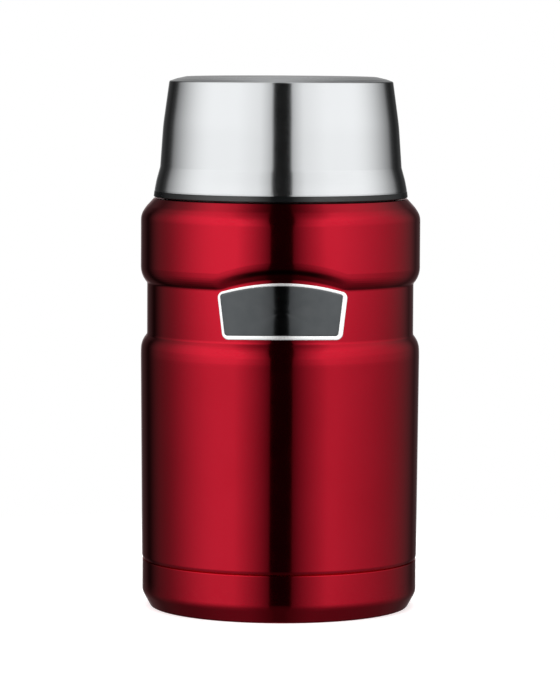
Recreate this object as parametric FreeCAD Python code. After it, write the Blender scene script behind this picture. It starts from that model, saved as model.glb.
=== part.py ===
import FreeCAD, Part
import math
import os

# Insulated food jar with a screw-in stopper and a screw-on cup lid.
# Millimetres, +Z up, origin at the centre of the foot ring, badge towards -Y.
# Sheet pieces are drawn as the line of their outer face and then given a wall.

# Radii run from the mouth outwards: each names how far it lies from its neighbour
mouth_r = 40.5

# Base cup: foot ring, slanted edge and straight side
base_inset = 0.15
foot_inset = 2.65
foot_ring_w = 5.0
foot_recess = 1.8
foot_slope = 1.2
foot_bend = 1.2
base_chamfer_h = 7.2
base_chamfer_bend = 5.0
base_h = 18.8
base_wall = 0.6
seam_gap = 0.5

# Outer shell: heights of its bands from the seam up
shell_wall = 0.6
lower_drum_h = 85.6
lower_shoulder_h = 2.9
waist_h = 20.3
upper_shoulder_h = 3.0
upper_drum_h = 23.8
crown_h = 3.1
crown_top_h = 3.4

# Outer shell: how far its bands lie from each other
neck_offset = 2.0
crown_offset = 3.1
drum_offset = 2.1
waist_depth = 2.5
lower_drum_inset = 0.05
lower_drum_taper = 0.65

# Outer shell: bends between the bands
seam_bend = 0.9
lower_shoulder_bend = 8.4
waist_bend = 0.8
upper_shoulder_bend = 9.8
drum_top_bend = 7.0
crown_bend = 8.0
ledge_bend = 1.0
neck_bend = 0.6

# Skirt of the shell inside the base cup, and the plate that closes it
skirt_fit = 0.05
skirt_h = 10.2
bottom_wall = 0.6
bottom_rim_h = 4.4
bottom_bend = 2.5
bottom_fit = 0.05

# Arch over the badge, where the recess of the waist rises into the drum
arch_r = 67.5
arch_gap = 0.4
arch_ramp_h = 3.6
arch_ramp_depth = 1.0
arch_brow_h = 1.2
arch_edge_depth = 0.25
arch_edge_tilt = 12.0
arch_reach = 39.0
arch_sections = 13

# Badge in the waist
badge_top_half_w = 24.7
badge_foot_half_w = 22.5
badge_apex_gap = 3.1
badge_foot_gap = 1.6
badge_foot_sag = 0.35
badge_corner_r = 2.6
badge_frame_w = 1.35
badge_plate_t = 0.35
badge_frame_t = 0.6

# Inner vessel
vessel_wall = 0.5
vacuum_gap = 12.9
neck_h = 16.6
rim_lip = 0.9
rim_bend = 0.85
seat_w = 3.5
seat_depth = 18.2
seat_throat_h = 2.8
seat_slope_h = 4.0
seat_bend = 0.8
vessel_shoulder_bend = 2.0
vessel_floor_z = 20.0
vessel_floor_bend = 7.0
vessel_weld_h = 9.0
floor_dome_h = 1.5
floor_dome_inset = 15.0
floor_dome_slope = 10.0

# Vacuum space
foil_t = 0.2
foil_fit = 0.05
foil_margin = 6.0
getter_r = 4.0
getter_h = 2.0
getter_offset = 24.0
getter_clip_w = 5.0
getter_clip_t = 0.4
getter_clip_foot = 4.0
port_r = 0.8
port_fit = 0.05
port_bead_r = 3.0
port_bead_h = 0.8

# Collar on the neck, with the thread for the lid
collar_fit = 0.1
collar_wall = 1.8
collar_edge = 0.5
collar_seal_w = 1.0
collar_seal_h = 1.2
collar_seal_fit = 0.05

# Threads: ridges of a trapezoid section, several starts each
thread_clear = 0.4
ridge_foot_w = 1.6
ridge_crest_w = 0.9
ridge_bite = 0.25
lid_starts = 4
lid_lead = 16.0
lid_ridge_depth = 1.2
lid_thread_above_ledge = 2.6
lid_male_turn = 165.0
lid_female_turn = 150.0
stopper_starts = 3
stopper_lead = 12.0
stopper_ridge_depth = 1.2
stopper_thread_below_rim = 13.2
stopper_male_turn = 230.0
stopper_female_turn = 150.0
stopper_thread_clear = 0.5

# Stopper
stopper_gap = 0.3
stopper_flange_over = 1.3
stopper_flange_t = 2.0
stopper_wall = 1.8
stopper_floor = 1.8
nose_clear = 0.7
nose_h = 4.5
gasket_t = 1.9
gasket_fit = 0.3
stopper_cap_inset = 0.6
stopper_cap_h = 2.7
stopper_cap_web = 1.8
stopper_cap_plug_h = 3.0
stopper_cap_plug_wall = 1.8
stopper_cap_fit = 0.2
stopper_cap_edge = 0.8
grip_dish_rim = 7.7
grip_dish_depth = 2.2
grip_bar_w = 11.0
grip_flutes = 24
grip_flute_r = 2.2
grip_flute_depth = 0.8
foam_fit = 0.2

# Cup lid: steel shell
lid_wall = 0.6
lid_hem_h = 0.6
lid_foot_flare = 0.67
lid_swell_h = 4.2
lid_swell_flare = 1.35
lid_kink_h = 4.9
lid_step = 0.1
lid_step_h = 0.4
lid_side_taper = 1.15
lid_side_h = 16.4
lid_brim_taper = 2.23
lid_brim_h = 16.2
lid_cone_w = 2.92
lid_cone_h = 1.9
lid_top_slope = 3.6
lid_top_h = 0.9
lid_swell_bend = 30.0
lid_side_bend = 80.0
lid_brim_bend = 1.3
lid_cone_bend = 6.0
lid_top_bend = 4.0

# Cup lid: plastic liner, whose ring shows under the steel
ring_gap = 0.4
ring_proud = 0.13
ring_taper = 0.25
ring_overhang = 0.2
ring_h = 2.3
ring_edge = 0.4
liner_fit = 0.2
liner_wall = 1.4
liner_thread_wall = 0.7
liner_mouth_flare = 0.6
liner_thread_h = 11.2
lid_gasket_t = 1.7
lid_gasket_w = 2.8
lid_gasket_gap = 0.3
lid_gasket_fit = 0.3
bowl_clear = 1.5
bowl_taper = 1.0
bowl_corner = 2.0
lid_air_gap = 2.0

# Levels that follow from the sizes above
shell_foot_z = base_h + seam_gap
lower_shoulder_z = shell_foot_z + lower_drum_h
waist_z = lower_shoulder_z + lower_shoulder_h
waist_top_z = waist_z + waist_h
upper_shoulder_z = waist_top_z + upper_shoulder_h
crown_z = upper_shoulder_z + upper_drum_h
crown_top_z = crown_z + crown_h
ledge_z = crown_top_z + crown_top_h
rim_z = ledge_z + neck_h
collar_top_z = rim_z - vessel_wall
seat_z = rim_z - seat_depth
ring_z = ledge_z + ring_gap
lid_foot_z = ring_z + ring_h
swell_z = lid_foot_z + lid_swell_h
kink_z = swell_z + lid_kink_h
side_z = kink_z + lid_step_h + lid_side_h
brim_z = side_z + lid_brim_h
cone_z = brim_z + lid_cone_h
lid_top_z = cone_z + lid_top_h
liner_top_z = lid_top_z - lid_wall - lid_air_gap
bowl_top_z = liner_top_z - liner_wall
skirt_foot_z = base_h - skirt_h
bottom_z = skirt_foot_z + bottom_rim_h
stopper_rest_z = rim_z + stopper_gap
stopper_deck_z = stopper_rest_z + stopper_flange_t
stopper_top_z = stopper_deck_z + stopper_cap_h
gasket_z = seat_z + stopper_gap
step_z = gasket_z + gasket_t
nose_z = step_z - nose_h
lid_gasket_z = rim_z + lid_gasket_gap
lid_step_z = lid_gasket_z + lid_gasket_t

# Radii that follow from the sizes above: neck, thread and lid, then the body
neck_r = mouth_r + neck_offset
rim_r = neck_r + rim_lip
collar_r = neck_r + collar_fit + collar_wall
liner_root_r = collar_r + lid_ridge_depth + thread_clear
liner_mouth_r = liner_root_r + liner_mouth_flare
lid_side_foot_r = liner_root_r + liner_thread_wall + liner_fit + lid_wall
lid_kink_r = lid_side_foot_r + lid_step
lid_swell_r = lid_kink_r + lid_swell_flare
lid_foot_r = lid_swell_r + lid_foot_flare
lid_side_r = lid_side_foot_r - lid_side_taper
lid_brim_r = lid_side_r - lid_brim_taper
lid_cone_r = lid_brim_r - lid_cone_w
lid_top_r = lid_cone_r - lid_top_slope
ring_top_r = lid_foot_r + ring_proud
ring_r = ring_top_r + ring_taper
ledge_r = ring_r - ring_overhang
crown_r = ledge_r + crown_offset
drum_r = crown_r + drum_offset
waist_r = drum_r - waist_depth
lower_drum_top_r = drum_r - lower_drum_inset
lower_drum_foot_r = lower_drum_top_r - lower_drum_taper
base_r = lower_drum_foot_r - base_inset
foot_r = base_r - foot_inset
foot_inner_r = foot_r - foot_ring_w
skirt_r = base_r - base_wall - skirt_fit

# Radii of the vessel and the stopper
vessel_r = drum_r - shell_wall - vacuum_gap - vessel_wall
seat_r = mouth_r - seat_w
floor_dome_r = vessel_r - floor_dome_inset
floor_dome_top_r = floor_dome_r - floor_dome_slope
stopper_crest_r = mouth_r - stopper_thread_clear
plug_r = stopper_crest_r - stopper_ridge_depth
vessel_crest_r = plug_r + stopper_thread_clear
nose_r = seat_r - nose_clear
flange_r = mouth_r + stopper_flange_over
cap_r = flange_r - stopper_cap_inset
grip_dish_r = cap_r - grip_dish_rim
cavity_r = plug_r - stopper_wall
bowl_r = flange_r + bowl_clear
gasket_outer_r = plug_r - gasket_fit
lid_gasket_inner_r = flange_r + lid_gasket_fit
lid_gasket_r = lid_gasket_inner_r + lid_gasket_w
liner_seal_r = lid_gasket_r + lid_gasket_fit

ORIGIN = FreeCAD.Vector(0, 0, 0)
UP = FreeCAD.Vector(0, 0, 1)

# Share of a straight side that its two bends may take up together
bend_share = 0.98


def at(r, z):
    """Point of the half-plane y = 0, where every turned piece is drawn."""
    return FreeCAD.Vector(r, 0, z)


def half_angle(before, corner, after):
    return (before - corner).getAngle(after - corner) / 2


def bend(before, corner, after, trim):
    """Start, middle and end of the arc that rounds a corner, cutting trim off each side."""
    back = (before - corner).normalize()
    ahead = (after - corner).normalize()
    half = half_angle(before, corner, after)
    radius = trim * math.tan(half)
    middle = (back + ahead).normalize() * (radius / math.sin(half) - radius)
    return corner + back * trim, corner + middle, corner + ahead * trim


def fitted(trims, sides):
    """Bends that would run into each other on a side are made smaller to fit it."""
    shares = []
    for i in range(len(trims)):
        wanted = trims[i] + trims[(i + 1) % len(trims)]
        room = bend_share * sides[i]
        shares.append(room / wanted if wanted > room else 1)
    return [trims[i] * min(shares[i - 1], shares[i]) for i in range(len(trims))]


def line_of(corners, closed=False):
    """Wire through corners (r, z) or (r, z, bend radius)."""
    points = [at(corner[0], corner[1]) for corner in corners]
    count = len(points)
    sides = [points[(i + 1) % count].distanceToPoint(points[i]) for i in range(count)]
    trims = [0.0] * count
    for i in range(count):
        if len(corners[i]) == 3:
            half = half_angle(points[i - 1], points[i], points[(i + 1) % count])
            trims[i] = corners[i][2] / math.tan(half)
    trims = fitted(trims, sides)
    starts = list(points)
    ends = list(points)
    arcs = {}
    for i in range(count):
        if trims[i]:
            after = points[(i + 1) % count]
            first, middle, last = bend(points[i - 1], points[i], after, trims[i])
            arcs[i] = Part.Arc(first, middle, last).toShape()
            starts[i] = first
            ends[i] = last
    edges = []
    for i in range(count):
        if i in arcs:
            edges.append(arcs[i])
        if closed or i < count - 1:
            edges.append(Part.LineSegment(ends[i], starts[(i + 1) % count]).toShape())
    return Part.Wire(edges)


def spin(face):
    """Full turn of a face about the jar's axis, as one solid."""
    return face.revolve(ORIGIN, UP, 360)


def turned(corners):
    """Solid of revolution whose half section is the closed outline."""
    return spin(Part.Face(line_of(corners, closed=True)))


def sheet(corners, wall):
    """Turned sheet: the line is one face, and the wall lies inside or outside it."""
    return spin(line_of(corners).makeOffset2D(wall, 0, True, True, False))


def ring(inner_r, outer_r, low_z, high_z):
    outer = Part.makeCylinder(outer_r, high_z - low_z, at(0, low_z))
    inner = Part.makeCylinder(inner_r, high_z - low_z, at(0, low_z))
    return outer.cut(inner)


def ridges(starts, lead, wall_r, depth, low_z, turn, first_angle):
    """Thread of several starts on a wall; a negative depth points to the axis."""
    side = math.copysign(1, depth)
    climb = lead * turn / 360
    helix = Part.makeHelix(lead, climb, wall_r)
    root_r = wall_r - side * ridge_bite
    crest_r = wall_r + depth
    section = Part.makePolygon([
        at(root_r, -ridge_foot_w / 2),
        at(crest_r, -ridge_crest_w / 2),
        at(crest_r, ridge_crest_w / 2),
        at(root_r, ridge_foot_w / 2),
        at(root_r, -ridge_foot_w / 2),
    ])
    ridge = Part.Wire(helix.Edges).makePipeShell([section], True, True)
    ridge.translate(at(0, low_z))
    threads = []
    for start in range(starts):
        copy = ridge.copy()
        copy.rotate(ORIGIN, UP, first_angle + 360 * start / starts)
        threads.append(copy)
    return threads


def drum_line():
    """Outer face of the shell, from the top of the neck to the foot of the skirt."""
    return [
        (neck_r, collar_top_z),
        (neck_r, ledge_z, neck_bend),
        (ledge_r, ledge_z, ledge_bend),
        (crown_r, crown_top_z, crown_bend),
        (drum_r, crown_z, drum_top_bend),
        (drum_r, upper_shoulder_z, upper_shoulder_bend),
        (waist_r, waist_top_z, waist_bend),
        (waist_r, waist_z, waist_bend),
        (lower_drum_top_r, lower_shoulder_z, lower_shoulder_bend),
        (lower_drum_foot_r, shell_foot_z, seam_bend / 3),
        (skirt_r, shell_foot_z - seam_bend / 2, seam_bend / 3),
        (skirt_r, skirt_foot_z),
    ]


def filled(line):
    """Solid between the axis and a line drawn beside it."""
    top = line.Vertexes[0].Point
    foot = line.Vertexes[-1].Point
    closing = Part.makePolygon([foot, at(0, foot.z), at(0, top.z), top])
    return spin(Part.Face(Part.Wire(line.Edges + closing.Edges)))


arch_centre_z = waist_top_z + badge_apex_gap - arch_r


def arch_height(x, above):
    """Height over x of the arch that runs the given distance above the badge."""
    return arch_centre_z + math.sqrt((arch_r + above) ** 2 - x ** 2)


def arch_cutter(inset):
    """What the arch takes out of the drum; the inset moves it in by the sheet's wall."""
    lift = 0.4 * inset
    floor_r = waist_r - inset
    crease_r = floor_r + arch_ramp_depth
    brow_r = drum_r - inset - arch_edge_depth
    edge_r = drum_r + 1
    reach_in = 1.0
    ramp_rise = reach_in * arch_ramp_h / arch_ramp_depth
    edge_rise = (edge_r - brow_r) / math.tan(math.radians(arch_edge_tilt))
    low_z = (waist_z + waist_top_z) / 2
    sections = []
    for i in range(arch_sections):
        angle = arch_reach * (2 * i / (arch_sections - 1) - 1)
        x = waist_r * math.sin(math.radians(angle))
        floor_z = arch_height(x, arch_gap) + lift
        crease_z = arch_height(x, arch_gap + arch_ramp_h) + lift
        brow_z = arch_height(x, arch_gap + arch_ramp_h + arch_brow_h) + lift
        section = Part.makePolygon([
            at(floor_r - reach_in, low_z),
            at(floor_r - reach_in, floor_z - ramp_rise),
            at(crease_r, crease_z),
            at(brow_r, brow_z),
            at(edge_r, brow_z + edge_rise),
            at(edge_r + 1, brow_z + edge_rise),
            at(edge_r + 1, low_z),
            at(floor_r - reach_in, low_z),
        ])
        section.rotate(ORIGIN, UP, angle - 90)
        sections.append(section)
    wedge = Part.makeLoft(sections, True, False)
    core = Part.makeCylinder(floor_r, 2 * waist_h, at(0, waist_z))
    return wedge.cut(core)


def outer_shell():
    outside = line_of(drum_line())
    inside = outside.makeOffset2D(-shell_wall, 0, False, True, False)
    body = filled(outside).cut(arch_cutter(0))
    hollow = filled(inside).cut(arch_cutter(shell_wall))
    return body.cut(hollow)


def base_cup():
    return sheet([
        (base_r, base_h),
        (base_r, base_chamfer_h, base_chamfer_bend),
        (foot_r, 0, foot_bend),
        (foot_inner_r, 0, foot_bend),
        (foot_inner_r - foot_slope, foot_recess, foot_bend),
        (0, foot_recess),
    ], -base_wall)


def outer_bottom():
    plate_r = skirt_r - shell_wall - bottom_fit
    plate = sheet([
        (plate_r, skirt_foot_z),
        (plate_r, bottom_z, bottom_bend),
        (0, bottom_z),
    ], bottom_wall)
    port = Part.makeCylinder(port_r, 4 * bottom_wall, at(0, bottom_z - 2 * bottom_wall))
    return plate.cut(port)


def port_seal():
    plate_foot_z = bottom_z - bottom_wall
    return turned([
        (0, plate_foot_z - port_bead_h),
        (port_bead_r, plate_foot_z - port_bead_h, port_bead_h / 2),
        (port_bead_r, plate_foot_z),
        (port_r - port_fit, plate_foot_z),
        (port_r - port_fit, bottom_z),
        (0, bottom_z),
    ])


def getter_pellet():
    return Part.makeCylinder(getter_r, getter_h, FreeCAD.Vector(getter_offset, 0, bottom_z))


def getter_clip():
    """Strap over the pellet, with a foot welded to the plate on each side."""
    near = getter_r + getter_clip_t / 4
    far = near + getter_clip_foot
    low = bottom_z
    top = bottom_z + getter_h
    outline = Part.makePolygon([
        at(getter_offset - far, low),
        at(getter_offset - near, low),
        at(getter_offset - near, top),
        at(getter_offset + near, top),
        at(getter_offset + near, low),
        at(getter_offset + far, low),
        at(getter_offset + far, low + getter_clip_t),
        at(getter_offset + near + getter_clip_t, low + getter_clip_t),
        at(getter_offset + near + getter_clip_t, top + getter_clip_t),
        at(getter_offset - near - getter_clip_t, top + getter_clip_t),
        at(getter_offset - near - getter_clip_t, low + getter_clip_t),
        at(getter_offset - far, low + getter_clip_t),
        at(getter_offset - far, low),
    ])
    strap = Part.Face(outline).extrude(FreeCAD.Vector(0, getter_clip_w, 0))
    strap.translate(FreeCAD.Vector(0, -getter_clip_w / 2, 0))
    return strap


def inner_vessel():
    wall = sheet([
        (rim_r, rim_z),
        (mouth_r, rim_z, rim_bend),
        (mouth_r, seat_z, seat_bend / 2),
        (seat_r, seat_z, seat_bend),
        (seat_r, seat_z - seat_throat_h, seat_bend),
        (vessel_r, seat_z - seat_throat_h - seat_slope_h, vessel_shoulder_bend),
        (vessel_r, vessel_floor_z + vessel_weld_h),
    ], vessel_wall)
    thread_z = rim_z - stopper_thread_below_rim + stopper_lead / stopper_starts / 2
    return wall.fuse(ridges(stopper_starts, stopper_lead, mouth_r, -(mouth_r - vessel_crest_r),
                            thread_z, stopper_female_turn, 0))


def inner_bottom():
    return sheet([
        (vessel_r, vessel_floor_z + vessel_weld_h),
        (vessel_r, vessel_floor_z, vessel_floor_bend),
        (floor_dome_r, vessel_floor_z, vessel_floor_bend),
        (floor_dome_top_r, vessel_floor_z + floor_dome_h, vessel_floor_bend),
        (0, vessel_floor_z + floor_dome_h),
    ], vessel_wall)


def radiation_foil():
    inner_r = vessel_r + vessel_wall + foil_fit
    low = vessel_floor_z + foil_margin
    high = seat_z - seat_throat_h - seat_slope_h - vessel_shoulder_bend
    return ring(inner_r, inner_r + foil_t, low, high)


def neck_collar():
    bore = neck_r + collar_fit
    seal_r = bore + collar_seal_w + collar_seal_fit
    seal_top = ledge_z + collar_seal_h + collar_seal_fit
    body = turned([
        (bore, seal_top),
        (seal_r, seal_top),
        (seal_r, ledge_z),
        (collar_r, ledge_z),
        (collar_r, collar_top_z, collar_edge),
        (bore, collar_top_z),
    ])
    return body.fuse(ridges(lid_starts, lid_lead, collar_r, lid_ridge_depth,
                            ledge_z + lid_thread_above_ledge, lid_male_turn, 0))


def collar_seal():
    bore = neck_r + collar_fit
    return turned([
        (bore, ledge_z + neck_bend),
        (bore + neck_bend, ledge_z),
        (bore + collar_seal_w, ledge_z),
        (bore + collar_seal_w, ledge_z + collar_seal_h),
        (bore, ledge_z + collar_seal_h),
    ])


def badge_outline(inset):
    """Closed outline of the badge, drawn in the plane y = 0 and moved in all round."""
    apex_z = waist_top_z + badge_apex_gap
    foot_z = waist_z + badge_foot_gap
    top_corner_z = arch_height(badge_top_half_w, 0)
    foot_corner_z = foot_z + badge_foot_sag
    top_left = at(-badge_top_half_w, top_corner_z)
    top_right = at(badge_top_half_w, top_corner_z)
    foot_right = at(badge_foot_half_w, foot_corner_z)
    foot_left = at(-badge_foot_half_w, foot_corner_z)
    edges = [
        Part.Arc(top_left, at(0, apex_z), top_right).toShape(),
        Part.LineSegment(top_right, foot_right).toShape(),
        Part.Arc(foot_right, at(0, foot_z), foot_left).toShape(),
        Part.LineSegment(foot_left, top_left).toShape(),
    ]
    sharp = Part.Wire(edges)
    inner = sharp.makeOffset2D(-badge_corner_r)
    rounded = inner.makeOffset2D(badge_corner_r)
    if inset:
        return rounded.makeOffset2D(-inset)
    return rounded


def badge_slab(outline, thickness):
    """Part of a ring round the waist that lies behind the outline."""
    prism = Part.Face(outline).extrude(FreeCAD.Vector(0, -2 * drum_r, 0))
    low = waist_z
    high = ledge_z
    return ring(waist_r, waist_r + thickness, low, high).common(prism)


def badge_plate():
    return badge_slab(badge_outline(badge_frame_w), badge_plate_t)


def badge_frame():
    whole = badge_slab(badge_outline(0), badge_frame_t)
    field = Part.Face(badge_outline(badge_frame_w)).extrude(FreeCAD.Vector(0, -2 * drum_r, 0))
    return whole.cut(field)


def stopper_body():
    pocket_r = nose_r - stopper_wall
    cavity_z = step_z + stopper_floor
    body = turned([
        (0, nose_z),
        (nose_r, nose_z, 1.0),
        (nose_r, step_z),
        (plug_r, step_z),
        (plug_r, stopper_rest_z),
        (flange_r, stopper_rest_z),
        (flange_r, stopper_deck_z),
        (cavity_r, stopper_deck_z),
        (cavity_r, cavity_z),
        (pocket_r, cavity_z),
        (pocket_r, nose_z + stopper_floor),
        (0, nose_z + stopper_floor),
    ])
    return body.fuse(ridges(stopper_starts, stopper_lead, plug_r, stopper_ridge_depth,
                            rim_z - stopper_thread_below_rim, stopper_male_turn, 0))


def stopper_foam():
    pocket_r = nose_r - stopper_wall - foam_fit
    shoulder_z = step_z + stopper_floor
    wide_r = cavity_r - foam_fit
    high_z = stopper_deck_z - stopper_cap_plug_h - foam_fit
    return turned([
        (0, nose_z + stopper_floor),
        (pocket_r, nose_z + stopper_floor),
        (pocket_r, shoulder_z + foam_fit),
        (wide_r, shoulder_z + foam_fit),
        (wide_r, high_z),
        (0, high_z),
    ])


def stopper_gasket():
    return ring(nose_r + gasket_fit, gasket_outer_r, gasket_z, step_z)


def stopper_cap():
    spigot_r = cavity_r - stopper_cap_fit
    spigot_z = stopper_deck_z - stopper_cap_plug_h
    web_z = stopper_top_z - grip_dish_depth
    cap = turned([
        (0, web_z - stopper_cap_web),
        (spigot_r - stopper_cap_plug_wall, web_z - stopper_cap_web),
        (spigot_r - stopper_cap_plug_wall, spigot_z),
        (spigot_r, spigot_z),
        (spigot_r, stopper_deck_z),
        (cap_r, stopper_deck_z),
        (cap_r, stopper_top_z, stopper_cap_edge),
        (grip_dish_r, stopper_top_z, stopper_cap_edge / 2),
        (grip_dish_r, web_z, stopper_cap_edge),
        (0, web_z),
    ])
    block = Part.makeBox(2 * grip_dish_r, grip_bar_w, grip_dish_depth + stopper_cap_web / 2,
                         FreeCAD.Vector(-grip_dish_r, -grip_bar_w / 2, web_z - stopper_cap_web / 2))
    dish = Part.makeCylinder(grip_dish_r + stopper_cap_edge, stopper_cap_h, at(0, web_z - 1))
    cap = cap.fuse(block.common(dish))
    for i in range(grip_flutes):
        flute = Part.makeCylinder(grip_flute_r, 2 * stopper_cap_h,
                                  at(cap_r + grip_flute_r - grip_flute_depth, stopper_deck_z - 1))
        flute.rotate(ORIGIN, UP, 360 * i / grip_flutes)
        cap = cap.cut(flute)
    return cap


def lid_line():
    """Outer face of the steel, from its foot to the centre of the top."""
    return [
        (lid_foot_r, lid_foot_z),
        (lid_foot_r, lid_foot_z + lid_hem_h, lid_hem_h / 2),
        (lid_swell_r, swell_z, lid_swell_bend),
        (lid_kink_r, kink_z),
        (lid_side_foot_r, kink_z + lid_step_h),
        (lid_side_r, side_z, lid_side_bend),
        (lid_brim_r, brim_z, lid_brim_bend),
        (lid_cone_r, cone_z, lid_cone_bend),
        (lid_top_r, lid_top_z, lid_top_bend),
        (0, lid_top_z),
    ]


def lid_shell():
    return sheet(lid_line(), lid_wall)


def lid_liner():
    """Cup inside the steel: ring, thread, seal step and bowl."""
    inset = lid_wall + liner_fit
    slope = (lid_kink_r - lid_side_r) / (side_z - kink_z)
    step_top = lid_step_z + liner_wall
    wall_r = lid_side_foot_r - inset - slope * (lid_step_z - kink_z)
    thread_top_z = ring_z + liner_thread_h
    top_r = bowl_r - bowl_taper
    body = turned([
        (ring_r, ring_z, ring_edge),
        (ring_top_r, lid_foot_z),
        (lid_foot_r - inset, lid_foot_z),
        (lid_swell_r - inset, swell_z),
        (lid_side_foot_r - inset, kink_z),
        (wall_r, lid_step_z),
        (bowl_r + liner_wall, step_top),
        (top_r + liner_wall, liner_top_z, bowl_corner + liner_wall),
        (0, liner_top_z),
        (0, bowl_top_z),
        (top_r, bowl_top_z, bowl_corner),
        (bowl_r, lid_step_z),
        (liner_seal_r, lid_step_z),
        (liner_seal_r, thread_top_z + liner_root_r - liner_seal_r),
        (liner_root_r, thread_top_z),
        (liner_root_r, ring_z + liner_mouth_r - liner_root_r),
        (liner_mouth_r, ring_z),
    ])
    thread_z = ledge_z + lid_thread_above_ledge + lid_lead / lid_starts / 2
    return body.fuse(ridges(lid_starts, lid_lead, liner_root_r, -lid_ridge_depth,
                            thread_z, lid_female_turn, 0))


def lid_gasket():
    return ring(lid_gasket_inner_r, lid_gasket_r, lid_gasket_z, lid_step_z)


PIECES = [
    outer_shell,
    base_cup,
    outer_bottom,
    port_seal,
    getter_clip,
    getter_pellet,
    inner_vessel,
    inner_bottom,
    radiation_foil,
    badge_plate,
    badge_frame,
    neck_collar,
    collar_seal,
    stopper_body,
    stopper_cap,
    stopper_foam,
    stopper_gasket,
    lid_shell,
    lid_liner,
    lid_gasket,
]

os.makedirs("parts", exist_ok=True)
for piece in PIECES:
    shape = piece()
    print(piece.__name__, "solids", len(shape.Solids), "valid", shape.isValid(),
          "volume", round(shape.Volume, 1))
    shape.exportStep("parts/" + piece.__name__ + ".step")
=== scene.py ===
import math
import bpy
from mathutils import Matrix, Vector

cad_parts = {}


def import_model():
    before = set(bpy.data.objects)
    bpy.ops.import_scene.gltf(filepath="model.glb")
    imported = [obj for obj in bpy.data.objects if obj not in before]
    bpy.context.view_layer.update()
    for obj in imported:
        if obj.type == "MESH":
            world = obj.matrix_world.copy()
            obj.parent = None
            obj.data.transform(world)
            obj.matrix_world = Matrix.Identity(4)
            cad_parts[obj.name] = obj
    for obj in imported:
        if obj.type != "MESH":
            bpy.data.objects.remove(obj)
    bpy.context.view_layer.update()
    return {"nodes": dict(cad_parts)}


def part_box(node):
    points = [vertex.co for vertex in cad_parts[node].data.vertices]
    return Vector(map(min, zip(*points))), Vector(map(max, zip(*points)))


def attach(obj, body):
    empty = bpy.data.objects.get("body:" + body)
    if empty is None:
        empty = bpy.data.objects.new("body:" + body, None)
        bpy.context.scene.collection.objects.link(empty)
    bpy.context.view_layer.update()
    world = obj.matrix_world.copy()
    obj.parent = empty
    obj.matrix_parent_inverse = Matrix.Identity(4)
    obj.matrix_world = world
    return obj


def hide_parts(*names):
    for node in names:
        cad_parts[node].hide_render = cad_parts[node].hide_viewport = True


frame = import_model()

# Looks of the insulated food jar. Metres, +Z up, badge towards -Y, as in the frame.
# The outside sheets and the badge are made again here, with finer bends than the solids
# have. The other nodes show as they are. All materials are procedural.

MM = 0.001

# How finely meshes are divided: points round a turned mesh, angle between the points of
# a bend and of a badge corner, and how far a support stands from the end of a stretch
STEPS_ROUND = 288
BEND_STEP = math.radians(6)
CORNER_STEP = math.radians(8)
SUPPORT = 0.2 * MM
LONG_STRETCH = 4 * SUPPORT

# Limits: what counts as on the axis, as no bend and as no depth; the share of a side that
# its bends may take up; the least cosine used at a shifted and at an inset corner; and
# how near to the path an inset point may come, as a share of the inset
ON_AXIS = 1e-7
NO_BEND = 0.001 * MM
NO_DEPTH = 0.005 * MM
SIDE_SHARE = 0.98
SHIFT_COSINE = 0.5
INSET_COSINE = 0.4
INSET_SHARE = 0.985


def half_extent(node):
    """Radius of a turned node that stays inside its box on all four sides."""
    least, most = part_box(node)
    return min(-least.x, -least.y, most.x, most.y)


def low(node):
    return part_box(node)[0].z


def high(node):
    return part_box(node)[1].z


# Levels and radii taken from the frame
base_top = high("base_cup")
base_r = half_extent("base_cup")
drum_r = half_extent("outer_shell")
skirt_z = low("outer_shell")
neck_top = high("outer_shell")
lid_foot = low("lid_shell")
lid_top = high("lid_shell")
lid_foot_r = half_extent("lid_shell")
badge_low = low("badge_frame")
badge_high = high("badge_frame")

# Sheet of the jar, from the seam up: levels and radii
wall = 0.6 * MM
seam_gap = 0.5 * MM
skirt_clear = 0.05 * MM
skirt_r = base_r - wall - skirt_clear
foot_z = base_top + seam_gap
lower_foot_r = drum_r - 0.7 * MM
lower_top_r = drum_r - 0.05 * MM
lower_top = foot_z + 85.6 * MM
waist_low = lower_top + 2.9 * MM
waist_high = waist_low + 20.3 * MM
waist_r = drum_r - 2.5 * MM
upper_foot = waist_high + 3.0 * MM
crown = upper_foot + 23.8 * MM
crown_top = crown + 3.1 * MM
crown_r = drum_r - 2.1 * MM
ledge = crown_top + 3.4 * MM
ledge_r = drum_r - 5.2 * MM
neck_r = drum_r - 12.5 * MM

# Bends of that sheet, its bevel over the seam and the eased band under its lower lip
seam_bend = 0.3 * MM
bevel_h = 1.1 * MM
bevel_w = 0.3 * MM
bevel_bend = 2.5 * MM
ease_h = 4.5 * MM
ease_w = 0.18 * MM
ease_bend = 60 * MM
lower_bend = 8.4 * MM
waist_bend = 1.5 * MM
upper_bend = 9.8 * MM
crown_bend = 7.0 * MM
shoulder_bend = 8.0 * MM
ledge_bend = 1.0 * MM
neck_bend = 0.6 * MM

# Arch over the badge: gap, ramp up to a crease, steep brow, then a round onto the drum
badge_arch_r = 77 * MM
crease_arch_r = 62 * MM
arch_gap = 0.7 * MM
arch_ramp_h = 2.8 * MM
arch_ramp_depth = 1.1 * MM
arch_ramp_least_h = 1 * MM
arch_brow_h = 0.9 * MM
arch_round_h = 3.6 * MM
arch_round_r = 8.5 * MM
arch_soft = 0.4 * MM

# Part of the shell's mesh that the arch may change: its levels, the height of its rows
# and the sine of the angle, from +X, up to which it reaches. Then the columns: where the
# fine ones start and end and how wide they and the others are, in degrees. Last, how many
# rows of the outer face there are to each row of the hidden inner one.
zone_low = waist_high - 9 * MM
zone_high = badge_high + 9 * MM
zone_row = 0.3 * MM
zone_sine = -0.8
front_start = 235
front_end = 305
front_turn = 0.5
other_turn = 1.25
rows_per_hidden = 3

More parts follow.
